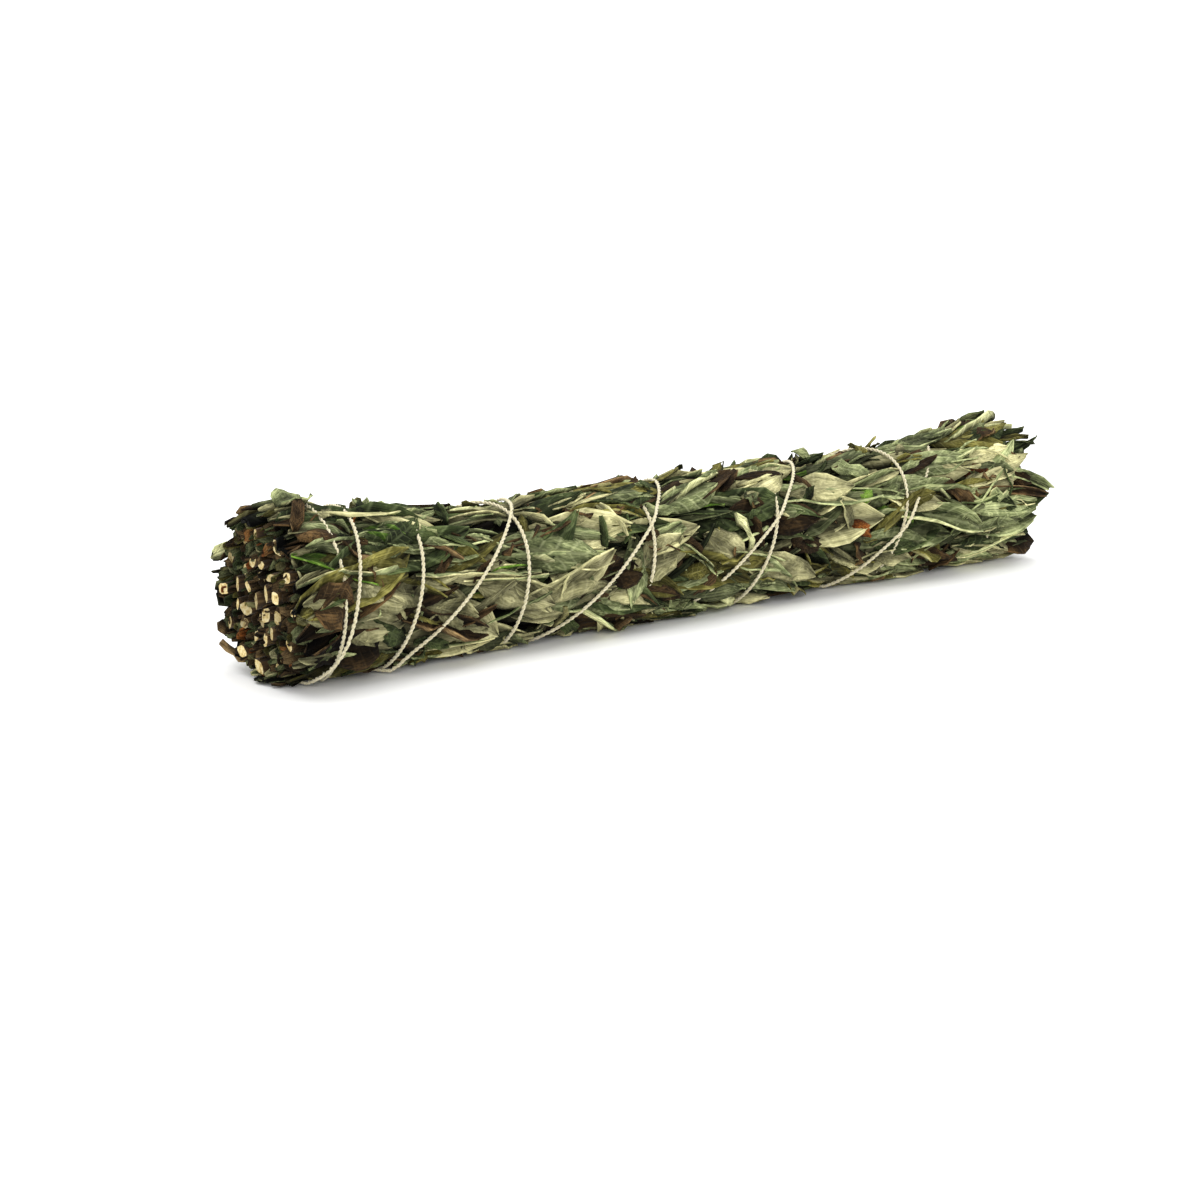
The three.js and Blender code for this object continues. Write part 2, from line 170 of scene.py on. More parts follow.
def nearThread(x, angle):
    x = min(bunch["length"] - 0.001, max(0, x))  # the last cell ends at the tips
    turn = math.degrees(angle) % 360 / fieldStep
    i, j = int(x), int(turn)
    f, g = x - i, turn - j
    columns = threadField.shape[1]
    here, there = threadField[i, j % columns], threadField[i + 1, j % columns]
    hereNext, thereNext = threadField[i, (j + 1) % columns], threadField[i + 1, (j + 1) % columns]
    return (here * (1 - f) + there * f) * (1 - g) + (hereNext * (1 - f) + thereNext * f) * g


def routePoint(t):
    x, angle = stationAt(t), underside + math.pi * t
    earlier = routeSamples[routeSamples[:, 0] < t - thread["strandApart"]]
    near = spanToThread(x, angle, earlier)
    lift = thread["climb"] * math.exp(-((near / thread["climbReach"]) ** 2))
    point = place(x, angle, outlineRadius(x) - thread["depth"] + lift)
    point.z = max(point.z, thread["radius"] + thread["tableGap"])
    return point


# From the bunch's millimetres to the frame: the middle of the thread's box is at the same place in both.
route = [routePoint(t) for t in routeTimes(thread["boxStep"])]
lowest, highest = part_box("binding_thread")
routeMiddle = Vector([(min(p[k] for p in route) + max(p[k] for p in route)) / 2 for k in range(3)])
frameShift = (lowest + highest) / 2 - routeMiddle * mm
frameShift.z = 0


def toFrame(point):
    return point * mm + frameShift


# Materials
def linear(code):
    parts = [int(code[k : k + 2], 16) / 255 for k in (1, 3, 5)]
    return [c / 12.92 if c <= 0.04045 else ((c + 0.055) / 1.055) ** 2.4 for c in parts] + [1]


def addNode(tree, kind, settings=None, links=None):
    node = tree.nodes.new(kind)
    for name, value in (settings or {}).items():
        if isinstance(name, int) or name in node.inputs:
            node.inputs[name].default_value = value
        else:
            setattr(node, name, value)
    for name, socket in (links or {}).items():
        tree.links.new(socket, node.inputs[name])
    return node


def newMaterial(name, roughness, sheen=0.0):
    material = bpy.data.materials.new(name)
    material.use_nodes = True
    tree = material.node_tree
    shader = tree.nodes["Principled BSDF"]
    shader.inputs["Roughness"].default_value = roughness
    shader.inputs["IOR"].default_value = 1.45
    shader.inputs["Specular IOR Level"].default_value = 0.05
    shader.inputs["Sheen Weight"].default_value = sheen
    shader.inputs["Sheen Roughness"].default_value = 0.6
    return material, tree, shader


def colourRamp(tree, stops, factor):
    ramp = addNode(tree, "ShaderNodeValToRGB", links={"Fac": factor})
    elements = ramp.color_ramp.elements
    while len(elements) < len(stops):
        elements.new(0.5)
    for element, (at, code) in zip(elements, stops):
        element.position = at
        element.color = linear(code)
    return ramp.outputs["Color"]


# Dried leaf: felted with short hairs, so it is rough with a faint sheen, and wrinkled into a net of cells
# about a millimetre wide between pale veins.
leafLook = {
    "roughness": 0.82,
    "sheen": 0.015,
    "cellSize": 1.1,
    "blotchSize": 7,
    "streaks": (2.5, 15, 1),  # along and across the leaf
    "streakShift": 6.0,  # so that leaves of different shade have different streaks
    "stops": (0.36, 0.5, 0.64),
    "veinPairs": 7,
    "veinSlant": 0.9,
    "veinWidth": 0.16,
    "ribHalfWidth": 0.09,
    "bump": 0.22,
}


def leafMaterial(name, dark, middle, light, vein, veinShare):
    material, tree, shader = newMaterial(name, leafLook["roughness"], leafLook["sheen"])
    place3d = addNode(tree, "ShaderNodeTexCoord").outputs["Object"]
    onLeaf = addNode(tree, "ShaderNodeUVMap", {"uv_map": "leaf"}).outputs["UV"]
    parts = addNode(tree, "ShaderNodeSeparateXYZ", links={"Vector": onLeaf})
    along, across = parts.outputs["X"], parts.outputs["Y"]
    centred = addNode(tree, "ShaderNodeMath", {"operation": "SUBTRACT", 1: 0.5}, {0: across})
    off = addNode(tree, "ShaderNodeMath", {"operation": "ABSOLUTE"}, {0: centred.outputs[0]}).outputs[0]
    rib = addNode(
        tree,
        "ShaderNodeMapRange",
        {"From Min": leafLook["ribHalfWidth"], "From Max": 0.0, "interpolation_type": "SMOOTHSTEP"},
        {"Value": off},
    ).outputs["Result"]
    pairs = addNode(
        tree, "ShaderNodeMath", {"operation": "MULTIPLY", 1: leafLook["veinPairs"]}, {0: along}
    ).outputs[0]
    slant = addNode(
        tree, "ShaderNodeMath", {"operation": "MULTIPLY", 1: -2 * leafLook["veinSlant"]}, {0: off}
    ).outputs[0]
    phase = addNode(tree, "ShaderNodeMath", {"operation": "ADD"}, {0: pairs, 1: slant}).outputs[0]
    sawtooth = addNode(tree, "ShaderNodeMath", {"operation": "PINGPONG", 1: 0.5}, {0: phase}).outputs[0]
    sideVein = addNode(
        tree,
        "ShaderNodeMapRange",
        {"From Min": leafLook["veinWidth"], "From Max": 0.0},
        {"Value": sawtooth},
    ).outputs["Result"]
    veins = addNode(tree, "ShaderNodeMath", {"operation": "MAXIMUM"}, {0: rib, 1: sideVein}).outputs[0]
    cells = addNode(
        tree, "ShaderNodeTexVoronoi", {"Scale": 1 / (leafLook["cellSize"] * mm)}, {"Vector": place3d}
    ).outputs["Distance"]
    blotch = addNode(
        tree,
        "ShaderNodeTexNoise",
        {"Scale": 1 / (leafLook["blotchSize"] * mm), "Detail": 5.0, "Roughness": 0.65},
        {"Vector": place3d},
    ).outputs["Fac"]
    stretched = addNode(
        tree, "ShaderNodeMapping", {"Scale": leafLook["streaks"]}, {"Vector": onLeaf}
    ).outputs[0]
    # leafShade is each leaf's own tone times painted shade and light, which leafPoint and rolledPoint work
    # out from where the leaf lies.
    shade = addNode(tree, "ShaderNodeAttribute", {"attribute_name": "leafShade"}).outputs["Fac"]
    apart = addNode(
        tree, "ShaderNodeMath", {"operation": "MULTIPLY", 1: leafLook["streakShift"]}, {0: shade}
    ).outputs[0]
    streak = addNode(
        tree,
        "ShaderNodeTexNoise",
        {"noise_dimensions": "4D", "Scale": 1.0, "Detail": 3.0, "Roughness": 0.6},
        {"Vector": stretched, "W": apart},
    ).outputs["Fac"]
    mottle = addNode(tree, "ShaderNodeMath", {"operation": "ADD"}, {0: blotch, 1: streak}).outputs[0]
    half = addNode(tree, "ShaderNodeMath", {"operation": "MULTIPLY", 1: 0.5}, {0: mottle}).outputs[0]
    base = colourRamp(tree, list(zip(leafLook["stops"], (dark, middle, light))), half)
    veinFactor = addNode(
        tree, "ShaderNodeMath", {"operation": "MULTIPLY", 1: veinShare}, {0: veins}
    ).outputs[0]
    veined = addNode(
        tree, "ShaderNodeMix", {"data_type": "RGBA", 7: linear(vein)}, {0: veinFactor, 6: base}
    ).outputs[2]
    toned = addNode(tree, "ShaderNodeVectorMath", {"operation": "SCALE"}, {0: veined, "Scale": shade})
    tree.links.new(toned.outputs[0], shader.inputs["Base Color"])
    relief = addNode(tree, "ShaderNodeMath", {"operation": "SUBTRACT"}, {0: cells, 1: veins}).outputs[0]
    bump = addNode(
        tree, "ShaderNodeBump", {"Strength": 0.7, "Distance": leafLook["bump"] * mm}, {"Height": relief}
    )
    tree.links.new(bump.outputs["Normal"], shader.inputs["Normal"])
    return material


# Each leaf colour is two materials, the blade's outer face and then its other face. Each has its dark,
# middle, light and vein colour and the share in which the veins show.
leafColours = {
    "sage": [
        ("#1b2010", "#545a3b", "#989d70", "#adb185", 0.22),
        ("#3d3f28", "#7d7e59", "#bbbb8b", "#ccca9d", 0.35),
    ],
    "felt": [
        ("#353424", "#787553", "#b1ac81", "#c2bd92", 0.16),
        ("#25281b", "#565c3d", "#8d9267", "#a4a779", 0.35),
    ],
    "deep": [
        ("#0a0d06", "#222915", "#4a5331", "#626b48", 0.25),
        ("#202314", "#4b5034", "#82865d", "#989a6f", 0.35),
    ],
    "olive": [
        ("#141307", "#3e3b19", "#6c6735", "#827d4d", 0.25),
        ("#2c2a18", "#605c3b", "#939064", "#a39f76", 0.25),
    ],
    "fresh": [
        ("#131e08", "#354c15", "#647f30", "#839650", 0.3),
        ("#313a1b", "#64703d", "#99a26c", "#abb37b", 0.3),
    ],
    "brown": [
        ("#080603", "#22190e", "#4d3b23", "#6b573a", 0.12),
        ("#1f180f", "#4f3f29", "#87714c", "#99865f", 0.15),
    ],
    "rust": [
        ("#220f05", "#5c3012", "#99602c", "#b08048", 0.1),
        ("#3a2411", "#76502b", "#ad8350", "#c09c68", 0.1),
    ],
}
materialSlots = []
for colour, sides in leafColours.items():
    for side, look in zip(("outer", "inner"), sides):
        materialSlots.append(leafMaterial(f"dried {colour} leaf {side} face", *look))


barkLook = {"grainSize": 0.8, "stretch": 0.15, "bump": 0.3}
pithLook = {"poreSize": 0.9, "bump": 0.2}
cottonLook = {"fibreSize": 0.35, "bump": 0.1}


def barkMaterial():
    # Dried stem bark, furrowed along the stem: brown ridges over a darker ground.
    material, tree, shader = newMaterial("dried stem bark", 0.85, 0.1)
    place3d = addNode(tree, "ShaderNodeTexCoord").outputs["Object"]
    stretched = addNode(
        tree, "ShaderNodeMapping", {"Scale": (barkLook["stretch"], 1, 1)}, {"Vector": place3d}
    ).outputs[0]
    grain = addNode(
        tree,
        "ShaderNodeTexNoise",
        {"Scale": 1 / (barkLook["grainSize"] * mm), "Detail": 4.0},
        {"Vector": stretched},
    ).outputs["Fac"]
    base = colourRamp(tree, [(0.3, "#1c130a"), (0.52, "#41301b"), (0.75, "#6d5838")], grain)
    tree.links.new(base, shader.inputs["Base Color"])
    bump = addNode(
        tree, "ShaderNodeBump", {"Strength": 0.8, "Distance": barkLook["bump"] * mm}, {"Height": grain}
    )
    tree.links.new(bump.outputs["Normal"], shader.inputs["Normal"])
    return material


def pithMaterial():
    # Cut stem wood with a soft pith: straw-coloured and matt, with a few darker pores.
    material, tree, shader = newMaterial("cut stem pith", 0.75)
    place3d = addNode(tree, "ShaderNodeTexCoord").outputs["Object"]
    pores = addNode(
        tree,
        "ShaderNodeTexNoise",
        {"Scale": 1 / (pithLook["poreSize"] * mm), "Detail": 5.0, "Roughness": 0.7},
        {"Vector": place3d},
    ).outputs["Fac"]
    base = colourRamp(tree, [(0.34, "#6f5428"), (0.46, "#c9b277"), (0.7, "#ece2b8")], pores)
    shade = addNode(tree, "ShaderNodeAttribute", {"attribute_name": "leafShade"}).outputs["Fac"]
    toned = addNode(tree, "ShaderNodeVectorMath", {"operation": "SCALE"}, {0: base, "Scale": shade})
    tree.links.new(toned.outputs[0], shader.inputs["Base Color"])
    bump = addNode(
        tree, "ShaderNodeBump", {"Strength": 0.5, "Distance": pithLook["bump"] * mm}, {"Height": pores}
    )
    tree.links.new(bump.outputs["Normal"], shader.inputs["Normal"])
    return material


def cottonMaterial():
    # Undyed cotton twine: two soft plies, matt and pale cream, a little greyer in its grooves.
    material, tree, shader = newMaterial("undyed cotton twine", 0.9, 0.35)
    place3d = addNode(tree, "ShaderNodeTexCoord").outputs["Object"]
    fibre = addNode(
        tree,
        "ShaderNodeTexNoise",
        {"Scale": 1 / (cottonLook["fibreSize"] * mm), "Detail": 4.0},
        {"Vector": place3d},
    ).outputs["Fac"]
    base = colourRamp(tree, [(0.25, "#a89d78"), (0.5, "#d2c9a6"), (0.75, "#e6dfc3")], fibre)
    tree.links.new(base, shader.inputs["Base Color"])
    bump = addNode(
        tree, "ShaderNodeBump", {"Strength": 0.5, "Distance": cottonLook["bump"] * mm}, {"Height": fibre}
    )
    tree.links.new(bump.outputs["Normal"], shader.inputs["Normal"])
    return material


materialSlots += [barkMaterial(), pithMaterial()]
barkSlot, pithSlot = len(materialSlots) - 2, len(materialSlots) - 1
cotton = cottonMaterial()
colourSlot = {colour: 2 * k for k, colour in enumerate(leafColours)}
print("materials made")


# A leaf's outline: its share of the full width by its place u along the blade, from 0 to 1.
leafForms = {
    "broad": [(0, 0.12), (0.12, 0.5), (0.3, 0.88), (0.5, 1), (0.7, 0.86), (0.87, 0.5), (1, 0.06)],
    "strap": [(0, 0.4), (0.15, 0.75), (0.4, 0.95), (0.7, 1), (0.9, 0.8), (1, 0.35)],
    "scrap": [(0, 0.5), (0.3, 1), (0.6, 0.8), (0.8, 0.95), (1, 0.3)],
}
leafShape = {
    "cells": {"broad": (7, 6), "strap": (7, 6), "scrap": (4, 2)},
    "ridges": 7,
    "pleat": 0.17,
    "flattest": 0.05,
    "raggedWaves": (11, 3),
    "edgeWaves": 9,
    "crumpleWaves": (4, 1.6, 9),
    "skew": 0.06,
    "endGaps": (0.3, 0.5),
    "tipRise": 0.8,
    "curlFrom": 0.6,
    "tableGaps": (0.4, 0.3),
    "thickness": 0.32,
    "rootSink": -1.1,
    "rise": 34,  # a leaf this long comes up from its root to the outline
    "top": 0.2,
    "pinnedTop": 1.9,
    "pinReach": 2.6,
    "proudest": 1.6,
    "deepShade": 0.05,
    "depthCurve": 1.7,
    "ridgeShade": 1.0,
    "middleShade": 1.16,
    "edgeShade": 1.6,
    "edgeCurve": 5,
    "brightest": 1.9,
    "contrast": 1.4,
}


# How much darker the leaf is at a height: what lies deep between other leaves gets little light.
def depthShade(height, layer):
    share = min(1.2, max(0, (height + 0.6) / (layer + 0.4)))
    return leafShape["deepShade"] + (1 - leafShape["deepShade"]) * share ** leafShape["depthCurve"]


def ridgeAt(leaf, v):
    ridges = leaf["ridges"]
    at = (v + 1) * (len(ridges) - 1) / 2
    low = min(len(ridges) - 2, int(at))
    return ridges[low] + (ridges[low + 1] - ridges[low]) * (at - low)


# The place on a leaf: u runs from its root to its tip and v from -1 to 1 across it.
def leafPoint(leaf, u, v):
    share = alongLine(leafForms[leaf["form"]], u)
    alongWaves, acrossWaves = leafShape["raggedWaves"]
    uneven = math.sin(alongWaves * u + acrossWaves * v + leaf["phase"])
    half = leaf["halfWidth"] * share * (1 + leaf["ragged"] * uneven)
    turn = max(leafShape["flattest"], leaf["roll"])
    across = half * math.sin(v * turn) / turn
    lifted = leaf["cup"] * half * (1 - math.cos(v * turn)) / turn - leaf["groove"] * (1 - abs(v)) ** 2
    lifted += leaf["wave"] * math.sin(leafShape["edgeWaves"] * u + leaf["phase"]) * v * abs(v)
    lifted += ridgeAt(leaf, v) * half
    creases = [k * waves for k, waves in zip((u, v, leaf["phase"]), leafShape["crumpleWaves"])]
    lifted += leaf["crumple"] * noise.noise(Vector(creases))
    twist = leaf["tilt"] + leaf["twist"] * (u - 0.5)
    sideways = across * math.cos(twist) - lifted * math.sin(twist)
    upward = across * math.sin(twist) + lifted * math.cos(twist)
    run = leaf["length"] * (u - leaf["sweep"] * v * leafShape["skew"])
    bend = leaf["yaw"] + leaf["sweep"] * u
    x = leaf["x"] + run * math.cos(bend) - sideways * math.sin(bend)
    arc = run * math.sin(bend) + sideways * math.cos(bend)
    x = min(bunch["length"] - leafShape["endGaps"][1], max(leafShape["endGaps"][0], x))
    layer = outlineRadius(x) - pressedRadius(x)
    angle = leaf["angle"] + arc / (pressedRadius(x) + layer / 2)
    near = nearThread(x, angle)
    hold = leaf["pin"] * math.exp(-((near / leafShape["pinReach"]) ** 2))
    height = leaf["base"] + (leaf["tip"] - leaf["base"]) * u ** leafShape["tipRise"]
    height += leaf["bow"] * math.sin(math.pi * u) + upward
    height += leaf["curl"] * max(0, (u - leafShape["curlFrom"]) / (1 - leafShape["curlFrom"])) ** 2
    free = layer - leafShape["top"]
    held = layer - leafShape["pinnedTop"]
    proud = min(leafShape["proudest"], max(0, height - free))
    height = min(height, free)
    if height > 0:
        height *= 1 + (held / free - 1) * hold
    height += proud * (1 - hold)
    point = place(x, angle, pressedRadius(x) + height)
    point.z = max(point.z, leafShape["tableGaps"][0] + leafShape["tableGaps"][1] * leaf["lie"])
    # Painted light and shade: raised pleats are made lighter and sunken ones darker, and depthShade
    # darkens what lies deep among the other leaves.
    ridge = 1 + leafShape["ridgeShade"] * (upward / max(0.8, half))
    paler = leafShape["edgeShade"] - leafShape["middleShade"]
    edge = leafShape["middleShade"] + paler * abs(v) ** leafShape["edgeCurve"]
    shade = leaf["shade"] * depthShade(height, layer) * max(0.4, ridge) * edge
    return toFrame(point), min(leafShape["brightest"], shade) ** leafShape["contrast"]


def addLeaf(bm, shadeLayer, leaf):
    along, across = leafShape["cells"][leaf["form"]]
    made = bmesh.ops.create_grid(bm, x_segments=along, y_segments=across, size=0.5, calc_uvs=True)
    faces = {face for vert in made["verts"] for face in vert.link_faces}
    for vert in made["verts"]:
        vert.co, vert[shadeLayer] = leafPoint(leaf, vert.co.x + 0.5, -2 * vert.co.y)
    for face in faces:
        face.material_index = colourSlot[leaf["colour"]]
        face.smooth = True


def newLeaf(**values):
    leaf = {
        "form": "broad", "x": 0, "angle": 0, "yaw": 0, "length": 30, "halfWidth": 5, "base": -1, "tip": 4,
        "bow": 0, "roll": 0.6, "cup": -1, "groove": 0.3, "wave": 0.3, "tilt": 0, "twist": 0, "sweep": 0,
        "curl": 0, "ragged": 0.04, "phase": 0, "lie": 0, "shade": 1, "colour": "sage", "crumple": 0.6,
        "pin": 1,
    }
    leaf["ridges"] = [dice.uniform(-1, 1) * leafShape["pleat"] for _ in range(leafShape["ridges"])]
    leaf.update(values)
    return leaf


# A small whole-number generator, the same one that the frame was drawn with.
class Draw:
    def __init__(self, start):
        self.state = start

    def __call__(self, low, high):
        self.state = self.state * 16807 % 2147483647
        return low + (high - low) * self.state / 2147483647


draw = Draw(bunch["seed"])
dice = random.Random(bunch["looseSeed"])


def pick(choices):
    return dice.choices(list(choices), weights=list(choices.values()))[0]


surfaceMix = {"sage": 36, "felt": 27, "deep": 18, "olive": 10, "brown": 8, "fresh": 1}
deepMix = {"deep": 40, "brown": 30, "olive": 20, "sage": 10}
buttMix = {"brown": 22, "deep": 36, "olive": 12, "felt": 14, "sage": 16}
crumbMix = {"brown": 58, "deep": 22, "olive": 12, "rust": 3, "felt": 5}
scrapMix = {"sage": 22, "felt": 22, "deep": 16, "brown": 22, "olive": 15, "rust": 1}
tipMix = {"sage": 40, "deep": 26, "felt": 20, "olive": 8, "brown": 4, "fresh": 2}


fullTurn = 6.28
wearLook = {
    "shade": (0.55, 1.75),
    "twist": 0.5,
    "roll": (0.3, 1.1),
    "cups": (-1, -1, 1),  # one leaf of three has its edges up
    "wave": (0.1, 0.8),
    "sweep": 0.12,
    "ragged": (0.02, 0.12),
    "groove": (0.1, 0.6),
    "crumple": (0.3, 1.3),
}


def wear(leaf, mix):
    leaf.update(
        colour=pick(mix),
        shade=dice.uniform(*wearLook["shade"]),
        phase=dice.uniform(0, fullTurn),
        twist=dice.gauss(0, wearLook["twist"]),
        roll=dice.uniform(*wearLook["roll"]),
        cup=dice.choice(wearLook["cups"]),
        wave=dice.uniform(*wearLook["wave"]),
        sweep=dice.gauss(0, wearLook["sweep"]),
        ragged=dice.uniform(*wearLook["ragged"]),
        lie=dice.random(),
        groove=dice.uniform(*wearLook["groove"]),
        crumple=dice.uniform(*wearLook["crumple"]),
    )
    return leaf


# The leaves that the frame has too: the ranges in these functions are the ones that it was drawn with.
def lanePhase(index):
    return (index % 3) * bunch["sideSpacing"] / 3


def frameLeaf(form, x, angle, yaw, missing, length, halfWidth, curl, tilt):
    layer = outlineRadius(x + length / 2) - pressedRadius(x + length / 2)
    span = layer - leafShape["top"] - leafShape["rootSink"]
    return newLeaf(
        form=form, x=x, angle=angle, yaw=yaw, length=length, halfWidth=halfWidth, curl=curl,
        base=leafShape["rootSink"] + span * missing / leafShape["rise"],
        tip=leafShape["rootSink"] + span * min(1.05, (missing + length) / leafShape["rise"]),
    ) | {"tilt": tilt * 0.2}


def drawSideLeaf(stem, index):
    lane = 2 * math.pi / stem["ring"]["count"]
    x = 2 + lanePhase(stem["index"]) + (index - 0.3) * bunch["sideSpacing"] + draw(-1, 1)
    angle = stem["angle"] + draw(-0.3, 0.3) * lane
    yaw = (1 if index % 2 else -1) * draw(0.04, 0.25)
    length, halfWidth = draw(29, 38), draw(4.3, 5.6)
    curl, tilt = draw(-0.2, 1) ** 3, draw(-0.2, 0.2)
    return frameLeaf("broad", x, angle, yaw, 0, length, halfWidth, curl, tilt)


def drawButtLeaf(stem):
    lane = 2 * math.pi / stem["ring"]["count"]
    cut = draw(2, 5)
    missing = cut - 2 - lanePhase(stem["index"]) + 1.3 * bunch["sideSpacing"]
    angle = stem["angle"] + draw(-0.2, 0.2) * lane
    yaw = draw(-0.12, 0.12)
    return frameLeaf("strap", cut, angle, yaw, missing, 38 - missing, draw(4.6, 5.6), 0, 0)


def drawOuterTip(stem, index):
    lane = 2 * math.pi / stem["ring"]["count"]
    length = draw(30, 37)
    x = bunch["length"] - length - 1 - lanePhase(stem["index"]) * 0.6 - index * 4 - draw(0, 2)
    angle = stem["angle"] + ((index - 0.5) * 0.5 + draw(-0.1, 0.1)) * lane
    yaw, halfWidth = draw(-0.12, 0.12), draw(3.6, 4.8)
    curl, tilt = draw(-0.6, 0.3), draw(-0.2, 0.2)
    return frameLeaf("strap", x, angle, yaw, 0, length, halfWidth, curl, tilt)


def drawEndLeaf(stem):
    length, louver = draw(24, 34), draw(0.8, 1.1)
    x = min(stem["end"] - 6, bunch["length"] - length - draw(0, 6))
    flare, bow = draw(0, 1.2), draw(-0.25, 0.25)
    draw(-0.3, 0.3)  # the fold of the frame's leaf, which isn't used here
    end = {"x": x, "length": length, "louver": louver, "flare": flare, "bow": bow}
    return end | {"halfWidth": draw(1.8, 2.3)}


def drawStem(ring, index):
    shift = 0.5 if ring["name"] == "middle" else 0
    stem = {
        "ring": ring,
        "index": index,
        "angle": 2 * math.pi * (index + shift) / ring["count"] - math.pi / 2,
        "stemEnd": draw(0, 1.8),
        "stemRadius": draw(1.35, 1.9),
        "cutSlope": draw(-0.35, 0.35),
        "start": draw(2.6, 4.6),
        "end": bunch["length"] - draw(16, 24),
    }
    stem["side"] = []
    if ring["name"] == "outer":
        stem["side"].append(drawButtLeaf(stem))
        stem["side"] += [drawSideLeaf(stem, k) for k in range(bunch["sideLeaves"])]
        stem["side"] += [drawOuterTip(stem, k) for k in range(bunch["tipLeaves"])]
    stem["ends"] = [drawEndLeaf(stem) for _ in range(ring["endLeaves"])]
    return stem


def ringMiddle(ring, x):
    if ring["count"] == 1:
        return 0
    spread = alongLine(bunch["spread"], x)
    return (ring["inner"] * spread + min(ring["outer"] * spread, pressedRadius(x))) / 2


# A tube of rings that follow each other, from a circle extruded section by section.
def loft(bm, sections, materialIndex, capIndex):
    count = len(sections[0])
    ringVerts = bmesh.ops.create_circle(bm, cap_ends=False, segments=count)["verts"]
    for vert, point in zip(ringVerts, sections[0]):
        vert.co = toFrame(point)
    first = ringVerts
    sides = []
    for section in sections[1:]:
        edges = [bm.edges.get((ringVerts[k], ringVerts[(k + 1) % count])) for k in range(count)]
        made = bmesh.ops.extrude_edge_only(bm, edges=edges)["geom"]
        fresh = [item for item in made if isinstance(item, bmesh.types.BMVert)]
        sides += [item for item in made if isinstance(item, bmesh.types.BMFace)]
        following = []
        for vert in ringVerts:
            beside = [edge.other_vert(vert) for edge in vert.link_edges]
            following.append(next(other for other in beside if other in fresh))
        for vert, point in zip(following, section):
            vert.co = toFrame(point)
        ringVerts = following
    caps = [bm.faces.new(first), bm.faces.new(ringVerts)]
    for face in sides:
        face.material_index = materialIndex
        face.smooth = True
    for face in caps:
        face.material_index = capIndex
    bmesh.ops.recalc_face_normals(bm, faces=sides + caps)


stemLook = {
    "sides": 12,
    "squareness": 0.1,
    "taper": 0.7,
    "flat": (0.5, 0.85),
    "bevel": 0.5,
    "bevelShare": 0.96,
    "endInset": 0.4,
    "straightFrom": 9,
    "paleness": (0.5, 1.2),
}


def addStem(bm, stem):
    sides = stemLook["sides"]
    flat, lean = dice.uniform(*stemLook["flat"]), dice.uniform(0, math.pi)

    def section(x, radius, slope):
        centre = place(x, stem["angle"], ringMiddle(stem["ring"], x))
        points = []
        for k in range(sides):
            turn = 2 * math.pi * k / sides
            size = radius * (1 + stemLook["squareness"] * math.cos(4 * turn + stem["index"]))
            wide, narrow = size * math.cos(turn), size * math.sin(turn) * flat
            y = wide * math.cos(lean) - narrow * math.sin(lean)
            z = wide * math.sin(lean) + narrow * math.cos(lean)
            points.append(centre + Vector((slope * y, y, z)))
        return points

    radius, slope = stem["stemRadius"], stem["cutSlope"]
    end = stem["stemEnd"] + stemLook["endInset"]
    far = stem["start"] + bunch["stemStub"]
    sections = [
        section(end, radius * stemLook["bevelShare"], slope),
        section(end + stemLook["bevel"], radius, slope),
        section(stemLook["straightFrom"], radius, 0),
        section(far, radius * stemLook["taper"], 0),
    ]
    loft(bm, sections, barkSlot, pithSlot)


# The core is painted with shade: its leafShade is set very low, so that the packed leaves inside the bunch
# show nearly black, as little light reaches them.
coreLook = {
    "outerStops": [5, 8, 24, 44, 100, 150, 190],
    "innerStops": [5, 44],
    "shortBy": 4,
    "sunk": 0.4,
    "corners": (-1, -0.33, 0.33, 1),
    "centreSides": 8,
    "shade": 0.12,
}


def addCore(bm, stem):
    ring = stem["ring"]
    outer = ring["name"] == "outer"
    inside = coreLook["innerStops"] + [stem["end"] - coreLook["shortBy"]]
    stops = coreLook["outerStops"] if outer else inside
    sides = coreLook["centreSides"]

    def section(x):
        spread = alongLine(bunch["spread"], x)
        if ring["count"] == 1:
            return [place(x, 2 * math.pi * k / sides, ring["outer"] * spread) for k in range(sides)]
        half = math.pi / ring["count"]
        low = ring["inner"] * spread
        high = pressedRadius(x) - coreLook["sunk"] if outer else ring["outer"] * spread
        upper = [place(x, stem["angle"] + side * half, high) for side in coreLook["corners"]]
        lower = [place(x, stem["angle"] + side * half, low) for side in reversed(coreLook["corners"])]
        return upper + lower

    loft(bm, [section(x) for x in stops], colourSlot["deep"], colourSlot["brown"])


endLook = {
    "perInner": 3,
    "perOuter": 4,
    "cells": 5,
    "length": (20, 32),
    "shortBy": 3.3,
    "wander": 0.9,
    "halfWidth": (1.6, 2.8),
    "thickInner": 1.3,
    "thickOuter": 2.4,
    "flare": 1.5,
    "bow": 0.4,
    "roll": (0.8, 2.2),
    "wave": 0.25,
    "plainRoll": 0.8,
    "plainWave": 0.2,
    "tableGap": 0.45,
    "dim": 15,  # how far in from an end the light reaches
    "darkest": 0.2,
}


